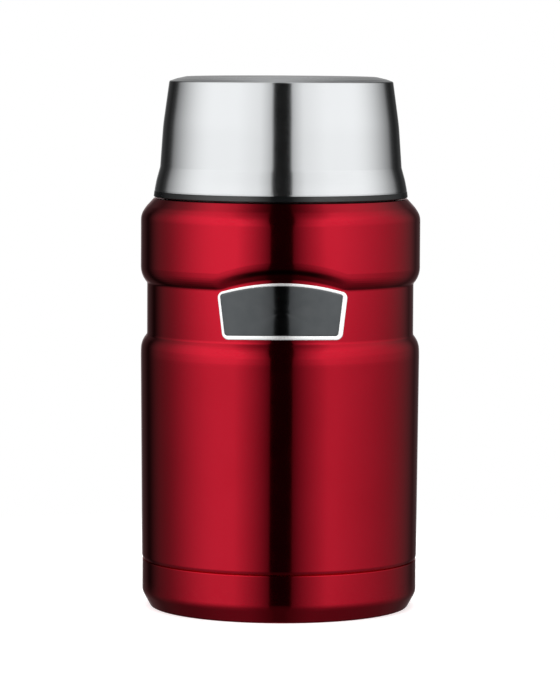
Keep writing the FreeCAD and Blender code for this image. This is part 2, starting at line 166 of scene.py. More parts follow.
# Painted shade in the arch's crease, darkening the lacquer's colour: how strong, how tall,
# how far above the crease line, and how far to the side it reaches and fades
painted_shade_most = 0.88
painted_shade_h = 1.0 * MM
painted_shade_up = 0.75 * MM
painted_shade_side = 24 * MM
painted_shade_fade = 12 * MM

# Base cup, its foot ring and the recess inside the ring, and the points of its lip
# from (base_r, base_top), in mm
base_lip = 0.25 * MM
base_corner_z = 6.1 * MM
base_bend = 5.0 * MM
ring_outer_r = base_r - 3.3 * MM
ring_inner_r = base_r - 7.65 * MM
recess_r = base_r - 8.85 * MM
recess_h = 1.8 * MM
ring_bend = 1.2 * MM
lip_points = [(-0.35, 0), (-0.2, 0), (-0.07, -0.06)]

# Lid steel, from its foot up
lid_hem = lid_foot + 0.6 * MM
hem_bend = 0.3 * MM
swell = lid_foot + 4.2 * MM
swell_r = lid_foot_r - 0.67 * MM
swell_bend = 30 * MM
kink = swell + 4.9 * MM
kink_r = swell_r - 1.35 * MM
side_foot = kink + 0.4 * MM
side_foot_r = kink_r - 0.1 * MM
side_top = side_foot + 16.4 * MM
side_r = side_foot_r - 1.15 * MM
side_bend = 80 * MM
brim = side_top + 17.2 * MM
brim_r = side_r - 2.37 * MM
brim_bend = 0.8 * MM
cone = brim + 1.0 * MM
cone_r = brim_r - 2.9 * MM
cone_bend = 6 * MM
top_r = cone_r - 3.6 * MM
top_bend = 4 * MM

# Badge. Its border is broader on the right and at the foot, so the lines inside the
# outline slip to the left and up, by badge_slip at the border's inner edge.
badge_top_half = 25.05 * MM
badge_foot_half = 22.9 * MM
badge_foot_rise = 0.35 * MM
badge_foot_drop = 0.3 * MM
badge_corner = 2.6 * MM
badge_border = 1.35 * MM
badge_slip = Vector((-0.42, 0.22)) * MM
badge_seat = 0.02 * MM
plate_h = 0.35 * MM
plate_edge_h = 0.05 * MM

# Points along the outline's sides, and the field's rings as shares of the way out
foot_points = 40
side_points = 14
top_points = 60
plate_rings = [1, 0.985, 0.95, 0.85, 0.7, 0.55, 0.4, 0.25, 0.12]

# Section of the badge's border: inset from the outline and height over the waist, in mm
border_section = [
    (0, 0.02), (0, 0.46), (0.04, 0.55), (0.13, 0.6), (0.4, 0.6), (0.68, 0.6),
    (0.95, 0.6), (1.22, 0.6), (1.31, 0.55), (1.35, 0.46), (1.35, 0.02),
]


# Turned meshes

def corner_trim(before, corner, after, radius):
    """How much of each side of a corner its bend takes up."""
    back = (before - corner).normalized()
    ahead = (after - corner).normalized()
    half = back.angle(ahead) / 2
    return radius / math.tan(half)


def bend_points(before, corner, after, trim):
    """Points of the arc that rounds a corner and takes so much of each side."""
    back = (before - corner).normalized()
    ahead = (after - corner).normalized()
    half = back.angle(ahead) / 2
    radius = trim * math.tan(half)
    centre = corner + (back + ahead).normalized() * (radius / math.sin(half))
    first = corner + back * trim - centre
    sweep = first.angle_signed(corner + ahead * trim - centre)
    count = max(3, math.ceil(abs(sweep) / BEND_STEP))
    points = []
    for k in range(count + 1):
        turn = -sweep * k / count
        c, s = math.cos(turn), math.sin(turn)
        spoke = Vector((first.x * c - first.y * s, first.x * s + first.y * c))
        points.append(centre + spoke)
    return points


def rounded(corners):
    """Points along a line of corners (r, z) or (r, z, bend), with an arc in each bend."""
    places = [Vector((c[0], c[1])) for c in corners]
    trims = [0.0] * len(corners)
    for i in range(1, len(corners) - 1):
        if len(corners[i]) == 3:
            trims[i] = corner_trim(places[i - 1], places[i], places[i + 1], corners[i][2])
    for i in range(len(corners) - 1):
        room = (places[i + 1] - places[i]).length * SIDE_SHARE
        wanted = trims[i] + trims[i + 1]
        if wanted > room:
            trims[i] *= room / wanted
            trims[i + 1] *= room / wanted
    points = []
    for i, place in enumerate(places):
        if trims[i]:
            points += bend_points(places[i - 1], place, places[i + 1], trims[i])
        else:
            points.append(place)
    return supported(points)


def supported(points):
    """Adds a point near each end of a long straight stretch, so that shading stays true."""
    held = [points[0]]
    for before, after in zip(points, points[1:]):
        run = (after - before).length
        if run > LONG_STRETCH:
            step = (after - before).normalized() * SUPPORT
            held.append(before + step)
            held.append(after - step)
        held.append(after)
    return held


def shifted(points, distance):
    """The same line moved sideways; a positive distance moves it to the left of its run."""
    moved = []
    for i, place in enumerate(points):
        sides = []
        if i:
            sides.append((place - points[i - 1]).normalized())
        if i < len(points) - 1:
            sides.append((points[i + 1] - place).normalized())
        along = sum(sides, Vector((0, 0))).normalized()
        left = Vector((-along.y, along.x))
        stretch = 1 / max(along.dot(sides[0]), SHIFT_COSINE)
        moved.append(place + left * distance * stretch)
    return moved


def thick(points, distance):
    """Closed section of a sheet whose one face is the line."""
    inside = shifted(points, distance)
    for place in inside:
        place.x = max(place.x, 0)
    return points + inside[::-1]


def mesh_object(name, verts, faces, sharp=40):
    """Smooth-shaded object, with edges sharper than an angle in degrees kept sharp."""
    mesh = bpy.data.meshes.new(name)
    mesh.from_pydata(verts, [], faces)
    mesh.validate()
    mesh.update()
    mesh.shade_smooth()
    mesh.set_sharp_from_angle(angle=math.radians(sharp))
    made = bpy.data.objects.new(name, mesh)
    bpy.context.scene.collection.objects.link(made)
    return made


def lathe(name, section, steps=STEPS_ROUND):
    """Turns a closed section about the Z axis, anticlockwise in the (r, z) plane."""
    verts = []
    rings = []
    for place in section:
        if place.x < ON_AXIS:
            rings.append([len(verts)] * steps)
            verts.append((0, 0, place.y))
        else:
            rings.append(list(range(len(verts), len(verts) + steps)))
            for k in range(steps):
                angle = 2 * math.pi * k / steps
                verts.append((place.x * math.cos(angle), place.x * math.sin(angle), place.y))
    faces = []
    for i in range(len(rings)):
        one = rings[i]
        other = rings[(i + 1) % len(rings)]
        for k in range(steps):
            n = (k + 1) % steps
            face = []
            for v in (one[k], one[n], other[n], other[k]):
                if v not in face:
                    face.append(v)
            if len(face) > 2:
                faces.append(face)
    return mesh_object(name, verts, faces)


# Outer shell, whose waist rises into an arch over the badge

def drum_section():
    """Outer face of the shell from the neck's top down to the skirt in the base cup."""
    return rounded([
        (neck_r, neck_top),
        (neck_r, ledge, neck_bend),
        (ledge_r, ledge, ledge_bend),
        (crown_r, crown_top, shoulder_bend),
        (drum_r, crown, crown_bend),
        (drum_r, upper_foot, upper_bend),
        (waist_r, waist_high, waist_bend),
        (waist_r, waist_low, waist_bend),
        (lower_top_r - ease_w, lower_top, lower_bend),
        (lower_top_r, lower_top - ease_h, ease_bend),
        (lower_foot_r, foot_z + bevel_h, bevel_bend),
        (lower_foot_r - bevel_w, foot_z, seam_bend),
        (skirt_r, foot_z - 1.5 * seam_bend, seam_bend),
        (skirt_r, skirt_z),
    ])


def arch_height(x, above, radius):
    """Height at x of an arch whose crest stands so far above the badge."""
    return badge_high + above - radius + math.sqrt(radius ** 2 - x ** 2)


def soft_min(a, b, soft):
    """The smaller of two lengths, with the corner between them rounded."""
    if soft < NO_BEND:
        return min(a, b)
    h = max(soft - abs(a - b), 0) / soft
    return min(a, b) - h * h * soft / 4


def soft_max(a, b, soft):
    return -soft_min(-a, -b, soft)


def arch_face(x, z):
    """Radius that the arch leaves at x and z: floor, ramp, brow and round."""
    foot = arch_height(x, arch_gap, badge_arch_r)
    crease = arch_height(x, arch_gap + arch_ramp_h, crease_arch_r)
    brow = crease + arch_brow_h
    crease_r = waist_r + arch_ramp_depth
    brow_r = drum_r - arch_round_h ** 2 / (2 * arch_round_r)
    ramp_h = max(crease - foot, arch_ramp_least_h)
    ramp = waist_r + (z - foot) * arch_ramp_depth / ramp_h
    step = crease_r + (z - crease) * (brow_r - crease_r) / arch_brow_h
    short = max(brow + arch_round_h - z, 0)
    edge = drum_r - short ** 2 / (2 * arch_round_r)
    face = soft_max(ramp, step, arch_soft)
    face = soft_min(face, edge, min(arch_soft, drum_r - edge))
    return soft_max(face, waist_r, arch_soft / 2)


def arch_dent(x, outside):
    """How far the arch lies behind the plain turned sheet; nothing on the waist itself.

    The corner between the two is less rounded near the waist and near the full drum, so
    that the dent ends there without a step.
    """
    depth = outside.x - waist_r
    if depth < NO_DEPTH:
        return 0
    face = arch_face(x, outside.y)
    soft = min(arch_soft, 2 * depth, drum_r - face)
    return max(0, outside.x - soft_min(outside.x, face, soft))


def painted_crease_shade(x, z):
    """Strength of the painted shade that darkens the lacquer's colour in the tight crease of
    the arch.
    """
    middle = arch_height(x, arch_gap + arch_ramp_h, crease_arch_r) + painted_shade_up
    near = math.exp(-((z - middle) / painted_shade_h) ** 4)
    side = min(max((painted_shade_side - abs(x)) / painted_shade_fade, 0), 1)
    return painted_shade_most * near * side


def in_zone(z):
    return zone_low < z < zone_high


def shell_rows():
    """Rows of the shell's outer face from the neck down, close together by the arch."""
    line = drum_section()
    rows = [line[0]]
    for before, after in zip(line, line[1:]):
        count = max(1, math.ceil((after - before).length / zone_row))
        between = [before.lerp(after, (k + 1) / count) for k in range(count - 1)]
        rows += [place for place in between if in_zone(place.y)]
        rows.append(after)
    return rows


def shell_angles():
    """Columns round the axis, closer together at the front, where the arch is."""
    angles = []
    angle = 0.0
    while angle < 360:
        angles.append(math.radians(angle))
        angle += front_turn if front_start <= angle < front_end else other_turn
    return angles


def outer_shell():
    """Shell with its arch. The hidden inner face has fewer rows than the outer one."""
    rows = shell_rows()
    inner = shifted(rows, -wall)
    last = len(rows) - 1
    hidden = [*range(0, last, rows_per_hidden), last]
    pairs = list(zip(rows, rows)) + [(inner[i], rows[i]) for i in hidden]
    angles = shell_angles()
    verts = []
    painted_shades = []
    for place, outside in pairs:
        for angle in angles:
            x = waist_r * math.cos(angle)
            dent = 0
            if in_zone(outside.y) and math.sin(angle) < zone_sine:
                dent = arch_dent(x, outside)
            r = place.x - dent
            verts.append((r * math.cos(angle), r * math.sin(angle), place.y))
            painted_shades.append(painted_crease_shade(x, outside.y) if dent else 0)
    count = len(angles)
    total = len(pairs)
    order = list(range(len(rows))) + list(range(total - 1, last, -1))
    faces = []
    for i in range(total):
        one = order[i] * count
        other = order[(i + 1) % total] * count
        for k in range(count):
            n = (k + 1) % count
            faces.append((one + k, other + k, other + n, one + n))
    made = mesh_object("shell_drawn", verts, faces)
    # Point layer crease: painted shade for the lacquer in the arch's crease
    layer = made.data.attributes.new("crease", "FLOAT", "POINT")
    layer.data.foreach_set("value", painted_shades)
    return made


def base_cup():
    line = rounded([
        (base_r, base_top - base_lip),
        (base_r, base_corner_z, base_bend),
        (ring_outer_r, 0, ring_bend),
        (ring_inner_r, 0, ring_bend),
        (recess_r, recess_h, ring_bend),
        (0, recess_h),
    ])
    lip = [Vector((base_r + r * MM, base_top + z * MM)) for r, z in lip_points]
    return lathe("base_spun", thick(line, -wall) + lip)


def lid_shell():
    line = rounded([
        (lid_foot_r, lid_foot),
        (lid_foot_r, lid_hem, hem_bend),
        (swell_r, swell, swell_bend),
        (kink_r, kink),
        (side_foot_r, side_foot),
        (side_r, side_top, side_bend),
        (brim_r, brim, brim_bend),
        (cone_r, cone, cone_bend),
        (top_r, lid_top, top_bend),
        (0, lid_top),
    ])
    return lathe("lid_drawn", thick(line, wall))


# Badge: a bright rounded border and the bare field inside it

def outward(before, after):
    run = (after - before).normalized()
    return Vector((run.y, -run.x))


def inward(path, distance):
    """Closed path moved in by a distance, without the points that a corner swallows."""
    moved = []
    for i, place in enumerate(path):
        first = outward(path[i - 1], place)
        second = outward(place, path[(i + 1) % len(path)])
        normal = (first + second).normalized()
        shift = normal * (distance / max(normal.dot(first), INSET_COSINE))
        candidate = place - shift
        nearest = min((candidate - other).length for other in path)
        if nearest > INSET_SHARE * distance:
            moved.append(candidate)
    return moved


def badge_path():
    """Outline of the badge in x and z before its corners are rounded, anticlockwise."""
    top_z = arch_height(badge_top_half, 0, badge_arch_r)
    foot = badge_low - badge_foot_drop
    foot_left = Vector((-badge_foot_half, foot))
    foot_right = Vector((badge_foot_half, foot))
    top_right = Vector((badge_top_half, top_z))
    top_left = Vector((-badge_top_half, top_z))
    sides = [
        (foot_left, foot_right, badge_foot_rise, foot_points),
        (foot_right, top_right, 0, side_points),
        (top_right, top_left, badge_high - top_z, top_points),
        (top_left, foot_left, 0, side_points),
    ]
    path = []
    for start, end, bow, count in sides:
        for k in range(count):
            t = k / count
            path.append(start.lerp(end, t) + Vector((0, 4 * bow * t * (1 - t))))
    return path


def badge_outline(inset):
    """Outline of the badge with round corners, moved in all round by an inset."""
    slip = badge_slip * inset / badge_border
    shrink = badge_corner - inset
    tight = inward(badge_path(), badge_corner)
    points = []
    for i, place in enumerate(tight):
        first = outward(tight[i - 1], place)
        second = outward(place, tight[(i + 1) % len(tight)])
        turn = first.angle_signed(second)
        count = max(1, round(abs(turn) / CORNER_STEP))
        for k in range(count):
            normal = first.lerp(second, (k + 0.5) / count).normalized()
            points.append(place + normal * shrink + slip)
    return points


def on_waist(place, height):
    """A point of the badge's plane, wrapped round the waist at a height over it."""
    r = waist_r + height
    return (place.x, -math.sqrt(r * r - place.x ** 2), place.y)


def bridge(one, other, count):
    """Faces between two rings of so many points, each given by its first point."""
    faces = []
    for k in range(count):
        n = (k + 1) % count
        faces.append((one + k, one + n, other + n, other + k))
    return faces


def badge_border_piece():
    verts = []
    for inset, height in border_section:
        verts += [on_waist(place, height * MM) for place in badge_outline(inset * MM)]
    rings = len(border_section)
    count = len(verts) // rings
    faces = []
    for i in range(rings):
        faces += bridge(i * count, (i + 1) % rings * count, count)
    return mesh_object("badge_border", verts, faces, sharp=70)


def badge_field_piece():
    edge = badge_outline(badge_border)
    middle = Vector((0, (badge_low + badge_high) / 2))
    verts = []
    for share in plate_rings:
        height = plate_h - (plate_edge_h if share == 1 else 0)
        verts += [on_waist(middle.lerp(place, share), height) for place in edge]
    verts.append(on_waist(middle, plate_h))
    count = len(edge)
    back = len(verts)
    verts += [on_waist(place, badge_seat) for place in edge]
    verts.append(on_waist(middle, badge_seat))
    faces = []
    for i in range(len(plate_rings) - 1):
        faces += bridge(i * count, (i + 1) * count, count)
    inner = (len(plate_rings) - 1) * count
    for k in range(count):
        n = (k + 1) % count
        faces.append((inner + k, inner + n, back - 1))
        faces.append((back + n, back + k, len(verts) - 1))
        faces.append((back + k, back + n, n, k))
    return mesh_object("badge_field", verts, faces)


# Node helpers. A value is a number or the output of another node.

def math_node(tree, operation, first, second=None, third=None):
    node = tree.nodes.new("ShaderNodeMath")
    node.operation = operation
    for socket, value in zip(node.inputs, (first, second, third)):
        if value is None:
            continue
        if isinstance(value, (int, float)):
            socket.default_value = value
        else:
            tree.links.new(value, socket)
    return node.outputs["Value"]


def product(tree, *values):
    total = values[0]
    for value in values[1:]:
        total = math_node(tree, "MULTIPLY", total, value)
    return total


def ranged(tree, value, low_out, high_out, low_in=0.3, high_in=0.7):
    """A value mapped from one range to another and held there; noise by default."""
    node = tree.nodes.new("ShaderNodeMapRange")
    node.inputs["From Min"].default_value = low_in
    node.inputs["From Max"].default_value = high_in
    node.inputs["To Min"].default_value = low_out
    node.inputs["To Max"].default_value = high_out
    tree.links.new(value, node.inputs["Value"])
    return node.outputs["Result"]


def soft_step(tree, value, start, end):
    """0 up to the start, 1 from the end, and a smooth rise between them."""
    node = tree.nodes.new("ShaderNodeMapRange")
    node.interpolation_type = "SMOOTHSTEP"
    node.inputs["From Min"].default_value = start
    node.inputs["From Max"].default_value = end
    tree.links.new(value, node.inputs["Value"])
    return node.outputs["Result"]


def stepped(tree, value, level, *changes):
    """A level that changes by some amount between two places, once for each change."""
    for amount, start, end in changes:
        level = math_node(tree, "ADD", ranged(tree, value, 0, amount, start, end), level)
    return level


def mixed(tree, share, first, second):
    node = tree.nodes.new("ShaderNodeMix")
    node.data_type = "FLOAT"
    tree.links.new(share, node.inputs["Factor"])
    tree.links.new(first, node.inputs["A"])
    tree.links.new(second, node.inputs["B"])
    return node.outputs["Result"]


def blended(tree, value, first, second):
    node = tree.nodes.new("ShaderNodeMix")
    node.data_type = "RGBA"
    node.inputs["A"].default_value = (*first, 1)
    node.inputs["B"].default_value = (*second, 1)
    tree.links.new(value, node.inputs["Factor"])
    return node.outputs["Result"]


def noise(tree, scale, detail=2.0, roughness=0.5):
    place = tree.nodes.new("ShaderNodeTexCoord")
    texture = tree.nodes.new("ShaderNodeTexNoise")
    texture.inputs["Scale"].default_value = scale
    texture.inputs["Detail"].default_value = detail
    texture.inputs["Roughness"].default_value = roughness
    tree.links.new(place.outputs["Object"], texture.inputs["Vector"])
    return texture.outputs["Fac"]


def place_xyz(tree):
    place = tree.nodes.new("ShaderNodeTexCoord")
    split = tree.nodes.new("ShaderNodeSeparateXYZ")
    tree.links.new(place.outputs["Object"], split.inputs["Vector"])
    return [split.outputs[axis] for axis in "XYZ"]


def round_place(tree):
    """Coordinates that run round the Z axis: angle, height and distance from the axis."""
    x, y, z = place_xyz(tree)
    angle = math_node(tree, "ARCTAN2", y, x)
    x2 = math_node(tree, "MULTIPLY", x, x)
    y2 = math_node(tree, "MULTIPLY", y, y)
    radius = math_node(tree, "SQRT", math_node(tree, "ADD", x2, y2))
    return angle, z, radius


def brushing(tree, along=6, across=5200):
    """Noise drawn out round the axis, as a brush or polishing belt leaves it."""
    angle, height, radius = round_place(tree)
    joined = tree.nodes.new("ShaderNodeCombineXYZ")
    tree.links.new(math_node(tree, "MULTIPLY", angle, along), joined.inputs["X"])
    tree.links.new(math_node(tree, "MULTIPLY", height, across), joined.inputs["Y"])
    tree.links.new(math_node(tree, "MULTIPLY", radius, across), joined.inputs["Z"])
    texture = tree.nodes.new("ShaderNodeTexNoise")
    texture.inputs["Scale"].default_value = 1
    texture.inputs["Detail"].default_value = 3
    tree.links.new(joined.outputs["Vector"], texture.inputs["Vector"])
    return texture.outputs["Fac"]


def coloured(tree, shader, value, dark, light):
    tree.links.new(blended(tree, value, dark, light), shader.inputs["Base Color"])


def roughened(tree, shader, value, rough):
    tree.links.new(ranged(tree, value, *rough), shader.inputs["Roughness"])


def bumped(tree, shader, height, distance, strength):
    node = tree.nodes.new("ShaderNodeBump")
    node.inputs["Distance"].default_value = distance
    node.inputs["Strength"].default_value = strength
    tree.links.new(height, node.inputs["Height"])
    tree.links.new(node.outputs["Normal"], shader.inputs["Normal"])


def turned_grain(tree, shader):
    """Gloss that spreads up and down, across grooves that run round the axis."""
    quarter_turn = 0.25
    tangent = tree.nodes.new("ShaderNodeTangent")
    tangent.direction_type = "RADIAL"
    tangent.axis = "Z"
    tree.links.new(tangent.outputs["Tangent"], shader.inputs["Tangent"])
    shader.inputs["Anisotropic Rotation"].default_value = quarter_turn


def empty_material(name):
    material = bpy.data.materials.new(name)
    material.use_nodes = True
    tree = material.node_tree
    tree.nodes.clear()
    output = tree.nodes.new("ShaderNodeOutputMaterial")
    return material, tree, output.inputs["Surface"]


def new_material(name):
    material, tree, surface = empty_material(name)
    shader = tree.nodes.new("ShaderNodeBsdfPrincipled")
    tree.links.new(shader.outputs["BSDF"], surface)
    return material, tree, shader


def glow(tree, strength):
    node = tree.nodes.new("ShaderNodeEmission")
    tree.links.new(strength, node.inputs["Strength"])
    return node.outputs["Emission"]


def both(tree, first, second):
    node = tree.nodes.new("ShaderNodeAddShader")
    tree.links.new(first, node.inputs[0])
    tree.links.new(second, node.inputs[1])
    return node.outputs["Shader"]


# Materials. Colours run from dark to light and roughness from low to high. A depth is
# the height of the relief in metres.

def lacquer(name, dark, light):
    """Clear red coat over polished steel, with painted shade where the point layer crease
    says so.
    """
    material, tree, shader = new_material(name)
    tone = ranged(tree, noise(tree, 35, 3), 0, 1)
    # Painted shade: the point layer crease mixes the colour towards black in the arch's
    # crease
    crease = tree.nodes.new("ShaderNodeAttribute")
    crease.attribute_name = "crease"
    painted_shade_mix = tree.nodes.new("ShaderNodeMix")
    painted_shade_mix.data_type = "RGBA"
    painted_shade_mix.inputs["B"].default_value = (0.0, 0.0, 0.0, 1)
    tree.links.new(crease.outputs["Fac"], painted_shade_mix.inputs["Factor"])
    tree.links.new(blended(tree, tone, dark, light), painted_shade_mix.inputs["A"])
    tree.links.new(painted_shade_mix.outputs["Result"], shader.inputs["Base Color"])
    shader.inputs["Metallic"].default_value = 1.0
    roughened(tree, shader, noise(tree, 90, 4, 0.6), (0.075, 0.12))
    shader.inputs["Coat Weight"].default_value = 0.2
    shader.inputs["Coat Roughness"].default_value = 0.03
    shader.inputs["Coat IOR"].default_value = 1.5
    bumped(tree, shader, noise(tree, 700), 0.000004, 0.5)
    return material


def steel(name, dark, light, rough, grain, depth):
    """Metal brushed round the axis; grain is how far the gloss spreads across it."""
    material, tree, shader = new_material(name)
    lines = brushing(tree)
    coloured(tree, shader, ranged(tree, lines, 0, 1), dark, light)
    shader.inputs["Metallic"].default_value = 1.0
    roughened(tree, shader, lines, rough)
    shader.inputs["Anisotropic"].default_value = grain
    turned_grain(tree, shader)
    bumped(tree, shader, lines, depth, 0.6)
    return material


def plastic(name, dark, light, rough, grain, depth, ior=1.5, specular=0.5):
    """Moulded plastic or rubber; grain is the scale of its fine relief."""
    material, tree, shader = new_material(name)
    coloured(tree, shader, ranged(tree, noise(tree, 60, 4), 0, 1), dark, light)
    roughened(tree, shader, noise(tree, 160, 5), rough)
    shader.inputs["IOR"].default_value = ior
    shader.inputs["Specular IOR Level"].default_value = specular
    bumped(tree, shader, noise(tree, grain, 3), depth, 0.6)
    return material


def enamel(name, dark, light):
    """Dark metallic field of the badge, brushed round the jar."""
    material, tree, shader = new_material(name)
    coloured(tree, shader, ranged(tree, noise(tree, 240, 3), 0, 1), dark, light)
    shader.inputs["Metallic"].default_value = 1.0
    lines = brushing(tree)
    roughened(tree, shader, lines, (0.13, 0.18))
    shader.inputs["Anisotropic"].default_value = 0.85
    turned_grain(tree, shader)
    bumped(tree, shader, lines, 0.000001, 0.5)
    return material


def bright_border(name, dark, light):
    """Border of the badge: satin, nearly white, and mostly mirror."""
    material, tree, shader = new_material(name)
    coloured(tree, shader, ranged(tree, noise(tree, 300, 3), 0, 1), dark, light)
    shader.inputs["Metallic"].default_value = 0.75
    roughened(tree, shader, noise(tree, 300), (0.22, 0.28))
    bumped(tree, shader, noise(tree, 500), 0.0000005, 0.5)
    return material


red = lacquer("red_lacquer", (0.78, 0.011, 0.036), (0.82, 0.013, 0.041))
red_base = lacquer("base_lacquer", (0.75, 0.010, 0.034), (0.79, 0.012, 0.038))
badge_dark = enamel("badge_enamel", (0.082, 0.089, 0.093), (0.093, 0.099, 0.103))
chrome = bright_border("badge_chrome", (0.95, 0.95, 0.95), (0.99, 0.99, 0.99))

lid_steel = steel("lid_steel", (0.86, 0.88, 0.895), (0.89, 0.91, 0.925),
                  (0.15, 0.21), 0.92, 0.000002)
vessel_steel = steel("vessel_steel", (0.60, 0.60, 0.60), (0.68, 0.68, 0.68),
                     (0.24, 0.36), 0.5, 0.000003)
plain_steel = steel("plain_steel", (0.52, 0.52, 0.53), (0.60, 0.60, 0.61),
                    (0.3, 0.45), 0.3, 0.000004)
clip_steel = steel("clip_steel", (0.46, 0.46, 0.48), (0.54, 0.54, 0.56),
                   (0.25, 0.38), 0.4, 0.000003)
foil = steel("foil", (0.78, 0.78, 0.8), (0.84, 0.84, 0.86), (0.15, 0.3), 0.0, 0.00002)
braze = steel("braze", (0.5, 0.45, 0.36), (0.62, 0.57, 0.46), (0.3, 0.45), 0.0, 0.00001)

slate = plastic("liner_plastic", (0.004, 0.0046, 0.005), (0.006, 0.0068, 0.0073),
                (0.12, 0.18), 900, 0.000004, ior=1.6, specular=0.85)
collar_slate = plastic("collar_plastic", (0.03, 0.033, 0.036), (0.038, 0.042, 0.045),
                       (0.26, 0.36), 1400, 0.00001)
stopper_slate = plastic("stopper_plastic", (0.034, 0.037, 0.04), (0.044, 0.048, 0.051),
                        (0.3, 0.42), 1400, 0.00001)
cap_slate = plastic("stopper_top_plastic", (0.04, 0.043, 0.047), (0.052, 0.056, 0.06),
                    (0.38, 0.5), 2200, 0.00002)
rubber = plastic("seal_rubber", (0.03, 0.03, 0.03), (0.04, 0.04, 0.04),
                 (0.6, 0.75), 1800, 0.00001)
silicone = plastic("gasket_rubber", (0.42, 0.43, 0.43), (0.5, 0.5, 0.5),
                   (0.42, 0.55), 1200, 0.00001)
sintered = plastic("getter", (0.1, 0.1, 0.105), (0.17, 0.17, 0.175),
                   (0.7, 0.85), 3000, 0.00005)
foam = plastic("foam", (0.78, 0.77, 0.73), (0.86, 0.85, 0.81),
               (0.85, 0.95), 900, 0.0002)

node_looks = {
    "outer_bottom": plain_steel,
    "port_seal": braze,
    "getter_clip": clip_steel,
    "getter_pellet": sintered,
    "inner_vessel": vessel_steel,
    "inner_bottom": vessel_steel,
    "radiation_foil": foil,
    "neck_collar": collar_slate,
    "collar_seal": rubber,
    "stopper_body": stopper_slate,
    "stopper_cap": cap_slate,
    "stopper_foam": foam,
    "stopper_gasket": silicone,
    "lid_liner": slate,
    "lid_gasket": silicone,
    "outer_shell": red,
    "base_cup": red_base,
    "lid_shell": lid_steel,
    "badge_plate": badge_dark,
    "badge_frame": chrome,
}


def painted(thing, material):
    thing.data.materials.clear()
    thing.data.materials.append(material)


for node, look in node_looks.items():
    painted(frame["nodes"][node], look)

shell_piece = outer_shell()
base_piece = base_cup()
lid_piece = lid_shell()
field_piece = badge_field_piece()
border_piece = badge_border_piece()
remade = [
    (shell_piece, "outer_shell", "jar", red, "red_lacquer"),
    (base_piece, "base_cup", "jar", red_base, "base_lacquer"),
    (lid_piece, "lid_shell", "lid", lid_steel, "lid_steel"),
    (field_piece, "badge_plate", "jar", badge_dark, "badge_enamel"),
    (border_piece, "badge_frame", "jar", chrome, "badge_chrome"),
]
for piece, node, body, look, slot in remade:
    painted(piece, look)
    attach(piece, body)
    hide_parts(node)


# Stage: floor, foot shade, mirrored soft boxes, lamps, world and camera

jar_middle = Vector((0, 0, 0.1))


def level_square(name, half, height):
    """Level square of paper round the jar's axis, without a material; the caller gives it
    one.
    """
    corners = [(-half, -half), (half, -half), (half, half), (-half, half)]
    mesh = bpy.data.meshes.new(name)
    mesh.from_pydata([(x, y, height) for x, y in corners], [], [(0, 1, 2, 3)])
    made = bpy.data.objects.new(name, mesh)
    bpy.context.scene.collection.objects.link(made)
    return made


def mirrored_only(thing):
    """Only glossy rays meet this thing, so that it shows in reflections alone."""
    for kind in ("camera", "diffuse", "transmission", "volume_scatter", "shadow"):
        setattr(thing, "visible_" + kind, False)


def floor():
    """White paper that catches the jar's shadow and fades into the white world."""
    camera_lift = 0.55
    fade_start, fade_end = 0.14, 0.3
    made = level_square("floor", half=3.0, height=0)
    material, tree, surface = empty_material("floor_paper")
    paper = tree.nodes.new("ShaderNodeBsdfDiffuse")
    tone = blended(tree, noise(tree, 8, 3), (0.76, 0.76, 0.76), (0.8, 0.8, 0.8))
    tree.links.new(tone, paper.inputs["Color"])
    path = tree.nodes.new("ShaderNodeLightPath")
    lift = math_node(tree, "MULTIPLY", path.outputs["Is Camera Ray"], camera_lift)
    lifted = both(tree, paper.outputs["BSDF"], glow(tree, lift))
    clear = tree.nodes.new("ShaderNodeBsdfTransparent")
    fade = tree.nodes.new("ShaderNodeMixShader")
    radius = round_place(tree)[2]
    tree.links.new(ranged(tree, radius, 0, 1, fade_start, fade_end), fade.inputs["Fac"])
    tree.links.new(lifted, fade.inputs[1])
    tree.links.new(clear.outputs["BSDF"], fade.inputs[2])
    tree.links.new(fade.outputs["Shader"], surface)
    made.data.materials.append(material)
    made.visible_glossy = False


def foot_shade():
    """Painted shadow that the foot mirrors close by: dims what it mirrors there, as the
    jar's own shadow on the table does, and adds a faint painted glow for light that the
    table bounces.
    """
    fade = (0.06, 0.105)
    # Painted shadow: the clear sheet is tinted grey near the foot, so reflections there are
    # darker
    painted_shadow_tint = (0.7, 0.7, 0.7)
    # Painted light: a faint glow near the foot, for light that the table bounces
    painted_bounce_glow = 0.034
    made = level_square("foot_shade", half=0.11, height=0.1 * MM)
    material, tree, surface = empty_material("foot_shade")
    clear = tree.nodes.new("ShaderNodeBsdfTransparent")
    radius = round_place(tree)[2]
    tone = ranged(tree, radius, 0, 1, *fade)
    tree.links.new(blended(tree, tone, painted_shadow_tint, (1, 1, 1)), clear.inputs["Color"])
    shine = glow(tree, ranged(tree, radius, painted_bounce_glow, 0, *fade))
    tree.links.new(both(tree, clear.outputs["BSDF"], shine), surface)
    made.data.materials.append(material)
    mirrored_only(made)


# What the jar mirrors. Off is the angle round from the front and lean the angle above
# level, both in degrees and both on a sphere round the jar. Two wide soft boxes stand at
# the left and the right, with a dark gap at the front and a dim room behind. A light
# function gives the brightness there.

def shine_place(tree, radius):
    """Off and lean of a place on a sphere of that radius."""
    x, y, z = place_xyz(tree)
    above = math_node(tree, "MULTIPLY", math_node(tree, "MAXIMUM", z, 0), 1 / radius)
    ahead = math_node(tree, "SUBTRACT", above, y)
    aside = math_node(tree, "ABSOLUTE", x)
    off = math_node(tree, "DEGREES", math_node(tree, "ARCTAN2", aside, ahead))
    rise = math_node(tree, "ARCSINE", math_node(tree, "DIVIDE", z, radius))
    return off, math_node(tree, "DEGREES", rise)


def on_the_right(tree):
    return math_node(tree, "GREATER_THAN", place_xyz(tree)[0], 0)


